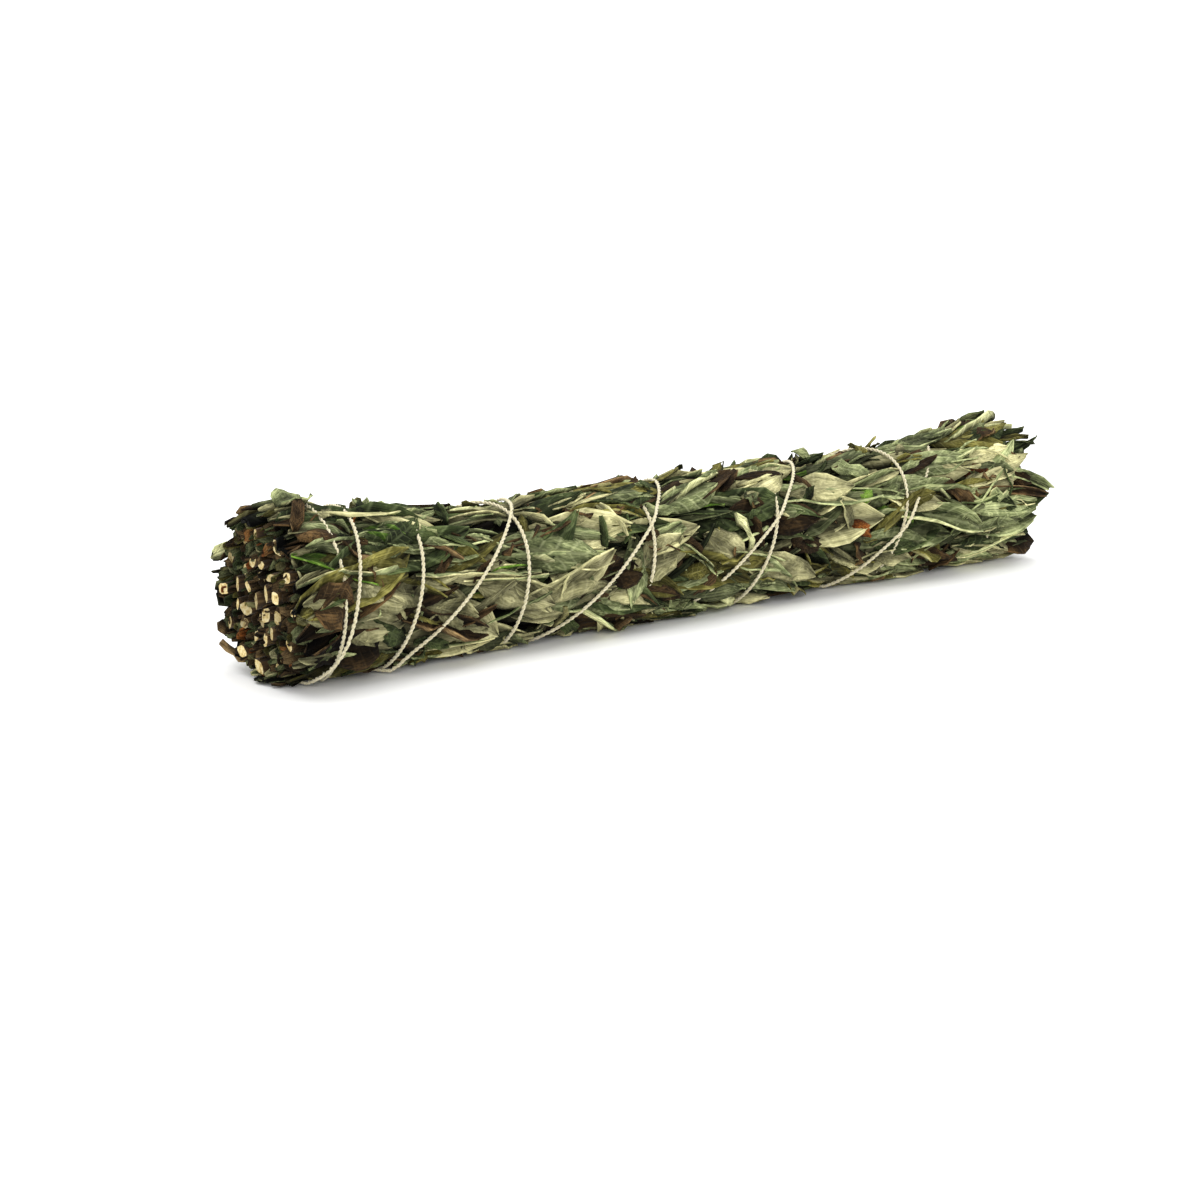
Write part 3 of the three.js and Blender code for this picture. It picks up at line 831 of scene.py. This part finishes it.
# The place on a leaf that is rolled up round its own length, at the tips and between the cut stems.
def rolledPoint(leaf, u, v):
    x = leaf["x"] + leaf["length"] * u
    middle = place(x, leaf["angle"], leaf["radius"] * (1 + 0.04 * u) + leaf["flare"] * u * u)
    half = leaf["halfWidth"] * alongLine(leafForms["strap"], u)
    turn = leaf["roll"] * (0.7 + 0.5 * u)
    around = v * turn
    curve = half / max(0.4, turn) * 1.4
    side, up = curve * math.sin(around), curve * (1 - math.cos(around)) * leaf["cup"]
    up += leaf["bow"] * math.sin(math.pi * u) + leaf["wave"] * math.sin(8 * u + leaf["phase"]) * v * v
    spin = leaf["spin"] + leaf["twist"] * u
    forward = leaf["ragged"] * 12 * v * math.sin(leaf["phase"]) * u
    aside = side * math.cos(spin) - up * math.sin(spin)
    point = middle + Vector((forward, aside, side * math.sin(spin) + up * math.cos(spin)))
    point.x = min(bunch["length"] - leafShape["endGaps"][0], point.x)
    point.z = max(point.z, endLook["tableGap"])
    # Painted shade: darker the further the point lies in from the nearer end of the bunch, and darker down
    # the middle of the roll than at its edges.
    inside = min(point.x, bunch["length"] - point.x) / endLook["dim"]
    light = max(endLook["darkest"], 1.15 - inside)
    return toFrame(point), leaf["shade"] * light * (0.75 + 0.35 * abs(v))


def addRolled(bm, shadeLayer, leaf):
    cells = endLook["cells"]
    made = bmesh.ops.create_grid(bm, x_segments=cells, y_segments=cells, size=0.5, calc_uvs=True)
    faces = {face for vert in made["verts"] for face in vert.link_faces}
    for vert in made["verts"]:
        vert.co, vert[shadeLayer] = rolledPoint(leaf, vert.co.x + 0.5, -2 * vert.co.y)
    for face in faces:
        face.material_index = colourSlot[leaf["colour"]]
        face.smooth = True


def endLeaves(stem):
    made = []
    ring = stem["ring"]
    outer = ring["name"] == "outer"
    middle = ringMiddle(ring, stem["end"])
    for shape in stem["ends"]:
        leaf = newLeaf(
            x=shape["x"], length=shape["length"], angle=stem["angle"], halfWidth=shape["halfWidth"]
        )
        leaf = wear(leaf, tipMix)
        leaf.update(
            radius=middle,
            flare=shape["flare"],
            bow=shape["bow"],
            roll=endLook["plainRoll"],
            spin=stem["angle"] + math.pi / 2 + shape["louver"],
            twist=0,
            wave=endLook["plainWave"],
        )
        made.append(leaf)
    half = math.pi / ring["count"] if ring["count"] > 1 else math.pi
    thick = endLook["thickOuter" if outer else "thickInner"]
    for _ in range(endLook["perOuter" if outer else "perInner"]):
        length = dice.uniform(*endLook["length"])
        leaf = newLeaf(
            x=bunch["length"] - length - dice.uniform(0, endLook["shortBy"]) ** 2,
            length=length,
            angle=stem["angle"] + dice.uniform(-endLook["wander"], endLook["wander"]) * half,
            halfWidth=dice.uniform(*endLook["halfWidth"]),
        )
        leaf = wear(leaf, tipMix)
        leaf.update(
            radius=max(0, middle + dice.uniform(-thick, thick)),
            flare=dice.uniform(0, endLook["flare"]),
            bow=dice.uniform(-endLook["bow"], endLook["bow"]),
            roll=dice.uniform(*endLook["roll"]),
            spin=dice.uniform(0, fullTurn),
            wave=endLook["wave"],
        )
        made.append(leaf)
    return made


# Dark crumbs of leaf between the cut stems, and folded over the rim of the cut end.
crumbLook = {
    "perInner": 9,
    "perOuter": 26,
    "station": 4,
    "x": (0.2, 3.5),
    "length": (4, 9),
    "halfWidth": (0.6, 1.7),
    "spreadInner": (-1.8, 1.8),
    "spreadOuter": (-3.5, 2.6),
    "innermost": 0.3,
    "bow": 0.5,
    "roll": (0.6, 2.4),
    "wave": 0.3,
    "shade": (0.5, 1.3),
}


def buttCrumbs(stem):
    made = []
    ring = stem["ring"]
    outer = ring["name"] == "outer"
    half = math.pi / ring["count"] if ring["count"] > 1 else math.pi
    middle = ringMiddle(ring, crumbLook["station"])
    for _ in range(crumbLook["perOuter" if outer else "perInner"]):
        leaf = newLeaf(
            x=dice.uniform(*crumbLook["x"]),
            length=dice.uniform(*crumbLook["length"]),
            angle=stem["angle"] + dice.uniform(-1, 1) * half,
            halfWidth=dice.uniform(*crumbLook["halfWidth"]),
        )
        leaf = wear(leaf, crumbMix)
        low, high = crumbLook["spreadOuter" if outer else "spreadInner"]
        leaf.update(
            radius=max(crumbLook["innermost"], middle + dice.uniform(low, high)),
            flare=0,
            bow=dice.uniform(-crumbLook["bow"], crumbLook["bow"]),
            roll=dice.uniform(*crumbLook["roll"]),
            spin=dice.uniform(0, fullTurn),
            wave=crumbLook["wave"],
            shade=dice.uniform(*crumbLook["shade"]),
        )
        made.append(leaf)
    return made


# The larger and the coloured leaves, placed one by one: station, angle and yaw in degrees (the yaw towards
# the front and down), length, half width, colour, form, roll and shade.
features = [
    (15, 117, 14, 15, 3.6, "fresh", "broad", 0.5, 1.0),
    (12, 134, 4, 12, 3.2, "deep", "broad", 0.6, 1.0),
    (1, 140, -6, 12, 2.4, "felt", "strap", 2.2, 1.25),
    (2, 112, 2, 14, 4.0, "deep", "broad", 0.7, 1.3),
    (11, 158, 22, 17, 5.2, "felt", "broad", 0.4, 1.1),
    (8, 186, 8, 18, 6.2, "felt", "broad", 0.4, 1.1),
    (33, 186, 24, 19, 5.2, "felt", "broad", 0.4, 1.1),
    (30, 200, 6, 17, 4.6, "felt", "broad", 0.4, 0.95),
    (50, 143, 12, 25, 4.8, "sage", "broad", 0.5, 1.1),
    (44, 170, 18, 20, 4.6, "felt", "broad", 0.5, 0.9),
    (83, 108, 4, 15, 3.4, "olive", "broad", 0.5, 1.1),
    (87, 146, 100, 16, 3.6, "sage", "broad", 0.4, 1.1),
    (84, 194, -34, 16, 4.8, "felt", "broad", 0.4, 1.15),
    (105, 160, 30, 14, 4.2, "felt", "broad", 0.4, 1.1),
    (112, 146, 8, 26, 4.6, "brown", "broad", 0.4, 0.9),
    (131, 130, 6, 20, 4.0, "felt", "broad", 0.4, 1.2),
    (146, 143, 10, 9, 2.6, "fresh", "scrap", 0.6, 1.2),
    (148, 166, 40, 6, 1.8, "rust", "scrap", 0.6, 0.8),
    (155, 168, 14, 12, 3.2, "fresh", "scrap", 0.7, 0.8),
    (175, 138, 40, 13, 2.2, "brown", "strap", 0.7, 1.9),
    (186, 144, 4, 6, 1.8, "rust", "scrap", 0.6, 0.7),
    (182, 204, 2, 22, 1.6, "felt", "strap", 1.6, 1.35),
    (98, 192, -10, 9, 2.0, "olive", "scrap", 0.6, 1.7),
    (60, 196, 8, 24, 4.6, "sage", "broad", 0.4, 1.0),
    (72, 178, 4, 15, 4.0, "brown", "broad", 0.5, 0.8),
    (94, 128, -8, 20, 4.4, "sage", "broad", 0.5, 1.2),
    (16, 205, 6, 24, 6.4, "felt", "broad", 0.4, 1.1),
    (22, 172, 14, 22, 5.8, "felt", "broad", 0.4, 1.2),
    (56, 204, -8, 24, 5.4, "felt", "broad", 0.4, 1.05),
    (70, 200, 10, 22, 4.6, "felt", "broad", 0.4, 1.2),
    (190, 132, 14, 13, 2.8, "brown", "broad", 0.5, 1.9),
    (196, 150, 24, 9, 2.4, "brown", "scrap", 0.6, 1.6),
    (118, 196, 10, 20, 4.4, "felt", "broad", 0.4, 1.1),
    (5, 120, 10, 18, 3.4, "sage", "strap", 0.8, 1.5),
]


def featureLeaves(stem):
    made = []
    for x, angle, yaw, length, halfWidth, colour, form, roll, shade in features:
        away = wrapped(math.radians(angle) - stem["angle"])
        if abs(away) > math.pi / stem["ring"]["count"]:
            continue
        layer = outlineRadius(x) - pressedRadius(x)
        leaf = newLeaf(x=x, length=length, halfWidth=halfWidth, base=0.7 * layer, tip=1.04 * layer)
        leaf = wear(leaf, surfaceMix)
        leaf.update(
            angle=math.radians(angle), yaw=math.radians(yaw), colour=colour, form=form, roll=roll,
            shade=shade, sweep=0, twist=0.1, tilt=0, cup=-1,
        )
        made.append(leaf)
    return made


# Leaves that have slipped over the thread, one for every step of it.
coverLook = {"step": 0.05, "length": (11, 22), "before": (0.4, 0.7), "halfWidth": (1.4, 3.4)}


def coverLeaves(stem):
    made = []
    for low, high in thread["buried"]:
        for k in range(math.ceil((high - low) / coverLook["step"])):
            t = low + k * coverLook["step"]
            angle = underside + math.pi * t + dice.uniform(-0.1, 0.1)
            length = dice.uniform(*coverLook["length"])
            before = length * dice.uniform(*coverLook["before"])
            x = min(bunch["length"] - length - 1, max(1, stationAt(t) - before))
            if abs(wrapped(angle - stem["angle"])) > math.pi / stem["ring"]["count"]:
                continue
            layer = outlineRadius(x) - pressedRadius(x)
            leaf = newLeaf(
                x=x,
                yaw=dice.gauss(0, 0.2),
                length=length,
                halfWidth=dice.uniform(*coverLook["halfWidth"]),
                base=0.78 * layer,
                tip=1.08 * layer,
            )
            leaf = wear(leaf, surfaceMix)
            leaf.update(angle=angle, tilt=dice.gauss(0, 0.15), crumple=0.3, cup=-1)
            made.append(leaf)
    return made


# Loose leaves on an outer stem: whole ones deep down, folded ones that show as streaks, and scraps. The
# upper stems have more and finer streaks.
extraLook = {
    "deepLeaves": 10,
    "deepSpacing": 20,
    "deepLength": (24, 34),
    "deepHalfWidth": (4, 6.5),
    "streaks": 34,
    "upperStreaks": 48,
    "streakRun": 198,
    "streakLength": (14, 32),
    "fineHalfWidth": (0.9, 2.4),
    "wideHalfWidth": (1.8, 4.4),
    "streakRoll": (0.5, 2.2),
    "streakTilt": 0.55,
    "looseShare": 0.12,
    "loosePin": 0.25,
    "scraps": 44,
    "scrapLength": (3, 9),
    "scrapHalfWidth": (0.8, 2.2),
    "proudShare": 0.2,
    "proudRise": (1.2, 3),
}


def extraLeaves(stem):
    made = []
    lane = 2 * math.pi / stem["ring"]["count"]
    for k in range(extraLook["deepLeaves"]):
        x = min(4 + k * extraLook["deepSpacing"] + dice.uniform(-6, 6), bunch["length"] - 38)
        leaf = newLeaf(
            x=x,
            angle=stem["angle"] + dice.uniform(-0.5, 0.5) * lane,
            yaw=dice.gauss(0, 0.3),
            length=dice.uniform(*extraLook["deepLength"]),
            halfWidth=dice.uniform(*extraLook["deepHalfWidth"]),
            base=dice.uniform(-0.6, 0.6),
            tip=dice.uniform(0.8, 2.2),
        )
        made.append(wear(leaf, deepMix))
    upper = math.sin(stem["angle"]) > 0.3
    streaks = extraLook["upperStreaks" if upper else "streaks"]
    for k in range(streaks):
        x = 1 + k * extraLook["streakRun"] / streaks + dice.uniform(-5, 5)
        length = dice.uniform(*extraLook["streakLength"])
        x = min(x, bunch["length"] - length - dice.uniform(0, 3))
        layer = outlineRadius(x + 10) - pressedRadius(x + 10)
        fine = upper or dice.random() < 0.5
        width = dice.uniform(*extraLook["fineHalfWidth" if fine else "wideHalfWidth"])
        leaf = newLeaf(
            form=dice.choice(("broad", "broad", "strap")),
            x=x,
            angle=stem["angle"] + dice.uniform(-0.5, 0.5) * lane,
            yaw=dice.gauss(0, 0.16 if upper else 0.32),
            length=length,
            halfWidth=width,
            base=dice.uniform(0, 0.55) * layer,
            tip=dice.uniform(0.6, 1) * layer,
            bow=dice.uniform(-0.3, 0.6),
        )
        leaf = wear(leaf, buttMix if x < 5 else surfaceMix)
        leaf["tilt"] = dice.gauss(0, extraLook["streakTilt"])
        leaf["roll"] = dice.uniform(*extraLook["streakRoll"])
        leaf["shade"] = min(leaf["shade"], 1 + width / 3)
        leaf["pin"] = extraLook["loosePin"] if dice.random() < extraLook["looseShare"] else 1
        made.append(leaf)
    for _ in range(extraLook["scraps"]):
        x = dice.uniform(1, bunch["length"] - 8)
        layer = outlineRadius(x) - pressedRadius(x)
        proud = upper and dice.random() < extraLook["proudShare"]
        height = (0.85 if proud else dice.uniform(0.3, 0.95)) * layer
        leaf = newLeaf(
            form="scrap",
            x=x,
            angle=stem["angle"] + dice.uniform(-0.5, 0.5) * lane,
            yaw=dice.gauss(0, 0.9),
            length=dice.uniform(*extraLook["scrapLength"]),
            halfWidth=dice.uniform(*extraLook["scrapHalfWidth"]),
            base=height,
            tip=height + (dice.uniform(*extraLook["proudRise"]) if proud else dice.uniform(-0.6, 0.8)),
        )
        leaf = wear(leaf, deepMix if proud else crumbMix if x < 10 else scrapMix)
        leaf["tilt"] = dice.gauss(0, 0.9)
        made.append(leaf)
    return made


def newPiece(bm, name, node):
    mesh = bpy.data.meshes.new(name)
    bm.to_mesh(mesh)
    bm.free()
    for material in materialSlots:
        mesh.materials.append(material)
    piece = bpy.data.objects.new(name, mesh)
    bpy.context.collection.objects.link(piece)
    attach(piece, "root")
    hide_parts(node)
    return piece


def makeLeafyStem(stem, node, label):
    bm = bmesh.new()
    bm.loops.layers.uv.new("leaf")
    shadeLayer = bm.verts.layers.float.new("leafShade")
    if stem["side"]:
        for leaf in stem["side"]:
            addLeaf(bm, shadeLayer, wear(leaf, buttMix if leaf["x"] < 6 else surfaceMix))
        for leaf in extraLeaves(stem) + coverLeaves(stem) + featureLeaves(stem):
            addLeaf(bm, shadeLayer, leaf)
    for leaf in endLeaves(stem) + buttCrumbs(stem):
        addRolled(bm, shadeLayer, leaf)
    leaves = newPiece(bm, f"sage_leaves_{label}", node)
    blade = leaves.modifiers.new("blade", "SOLIDIFY")
    blade.thickness = leafShape["thickness"] * mm
    blade.offset = -1
    blade.material_offset = 1
    bm = bmesh.new()
    bm.verts.layers.float.new("leafShade")
    addCore(bm, stem)
    shadeLayer = bm.verts.layers.float["leafShade"]
    # Painted shade on the core, which little light reaches.
    for vert in bm.verts:
        vert[shadeLayer] = coreLook["shade"]
    coreCount = len(bm.verts)
    addStem(bm, stem)
    paleness = dice.uniform(*stemLook["paleness"])
    for vert in list(bm.verts)[coreCount:]:
        vert[shadeLayer] = paleness
    newPiece(bm, f"sage_stem_{label}", node)


for ring in rings:
    for index in range(ring["count"]):
        stem = drawStem(ring, index)
        label = ring["name"] if ring["count"] == 1 else f"{ring['name']}_{index + 1:02d}"
        makeLeafyStem(stem, f"leafy_stem_{label}", label)
    print("stems made:", ring["name"])


def addStrand(curve, points):
    spline = curve.splines.new("POLY")
    spline.points.add(len(points) - 1)
    for target, point in zip(spline.points, points):
        target.co = (*toFrame(point), 1)


def twine(points, turnOffset):
    # One ply winds round the thread's centre line once every plyPitch.
    made = []
    travelled = 0
    for k, point in enumerate(points):
        ahead = points[min(len(points) - 1, k + 1)] - points[max(0, k - 1)]
        if k:
            travelled += (point - points[k - 1]).length
        middle = Vector((point.x, 0, outlineRadius(point.x) + bunch["restLift"]))
        outward = (point - middle).normalized()
        side = ahead.normalized().cross(outward).normalized()
        turn = 2 * math.pi * travelled / thread["plyPitch"] + turnOffset
        offset = (outward * math.cos(turn) + side * math.sin(turn)) * thread["plyRadius"]
        made.append(point + offset * thread["plyOffset"])
    return made


knotStation = (stationAt(thread["knotTurn"]) + stationAt(routeEnd)) / 2


def tailPoints(turn):
    knotAngle = underside + math.pi * thread["knotTurn"]
    made = []
    for k in range(thread["tailSteps"] + 1):
        run = thread["tailLength"] * k / thread["tailSteps"]
        x = knotStation + run * math.cos(turn)
        angle = knotAngle - run * math.sin(turn) / outlineRadius(x)
        made.append(place(x, angle, outlineRadius(x) - thread["depth"]))
    return made


def makeThread():
    curve = bpy.data.curves.new("binding_twine", "CURVE")
    curve.dimensions = "3D"
    curve.bevel_depth = thread["plyRadius"] * mm
    curve.bevel_resolution = 1
    curve.use_fill_caps = True
    fine = [routePoint(t) for t in routeTimes(thread["fineStep"])]
    strands = [fine] + [tailPoints(turn) for turn in thread["tailTurns"]]
    knot = place(knotStation, 0, outlineRadius(knotStation) - thread["depth"])
    long, deep, high = thread["knotSize"]
    loop = []
    for k in range(thread["knotSteps"] + 1):
        turn = 2 * math.pi * k / thread["knotSteps"]
        out = math.cos(3 * turn) * deep + thread["knotLift"]
        loop.append(knot + Vector((math.cos(2 * turn) * long, out, math.sin(3 * turn) * high)))
    strands.append(loop)
    for points in strands:
        for offset in (0, math.pi):
            addStrand(curve, twine(points, offset))
    piece = bpy.data.objects.new("cotton_twine", curve)
    bpy.context.collection.objects.link(piece)
    curve.materials.append(cotton)
    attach(piece, "root")
    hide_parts("binding_thread")


makeThread()
print("thread made")


# The table, the lights and the camera. The suns have a strength, a softness in degrees and the direction
# that they shine from.
stageLook = {
    "tableHalf": 120,
    "roughness": 0.9,
    "colour": "#f7f7f6",
    "suns": {"overhead": (2.6, 70, (0.1, 0.15, 1)), "front": (1.0, 30, (-0.5, -0.8, 0.5))},
    "sky": 0.75,
}
view = {
    "azimuth": -36.8,
    "elevation": 13.6,
    "distance": 0.5688,
    "right": -0.0152,
    "up": 0.0021,
    "lens": 75.3,
    "sensor": 36,
    "clip": (0.02, 300),
}


def makeStage():
    bm = bmesh.new()
    bmesh.ops.create_grid(bm, x_segments=1, y_segments=1, size=stageLook["tableHalf"])
    mesh = bpy.data.meshes.new("table_top")
    bm.to_mesh(mesh)
    bm.free()
    table = bpy.data.objects.new("table_top", mesh)
    bpy.context.collection.objects.link(table)
    material, tree, shader = newMaterial("white card", stageLook["roughness"])
    shader.inputs["Base Color"].default_value = linear(stageLook["colour"])
    mesh.materials.append(material)


def addSun(name, strength, softness, direction):
    data = bpy.data.lights.new(name, "SUN")
    data.energy = strength
    data.angle = math.radians(softness)
    light = bpy.data.objects.new(name, data)
    light.rotation_euler = Vector(direction).to_track_quat("Z", "Y").to_euler()
    bpy.context.collection.objects.link(light)


def makeCamera():
    a, e = math.radians(view["azimuth"]), math.radians(view["elevation"])
    back = Vector((math.sin(a) * math.cos(e), -math.cos(a) * math.cos(e), math.sin(e)))
    right = Vector((math.cos(a), math.sin(a), 0))
    data = bpy.data.cameras.new("camera")
    data.lens = view["lens"]
    data.sensor_width = view["sensor"]
    data.clip_start, data.clip_end = view["clip"]
    camera = bpy.data.objects.new("camera", data)
    camera.location = back * view["distance"] + right * view["right"] + back.cross(right) * view["up"]
    camera.rotation_euler = (-back).to_track_quat("-Z", "Y").to_euler()
    bpy.context.collection.objects.link(camera)
    bpy.context.scene.camera = camera


makeStage()
for name, sun in stageLook["suns"].items():
    addSun(name, *sun)
world = bpy.data.worlds.new("studio")
world.use_nodes = True
world.node_tree.nodes["Background"].inputs["Color"].default_value = linear("#ffffff")
world.node_tree.nodes["Background"].inputs["Strength"].default_value = stageLook["sky"]
bpy.context.scene.world = world
bpy.context.scene.view_settings.view_transform = "Standard"
makeCamera()
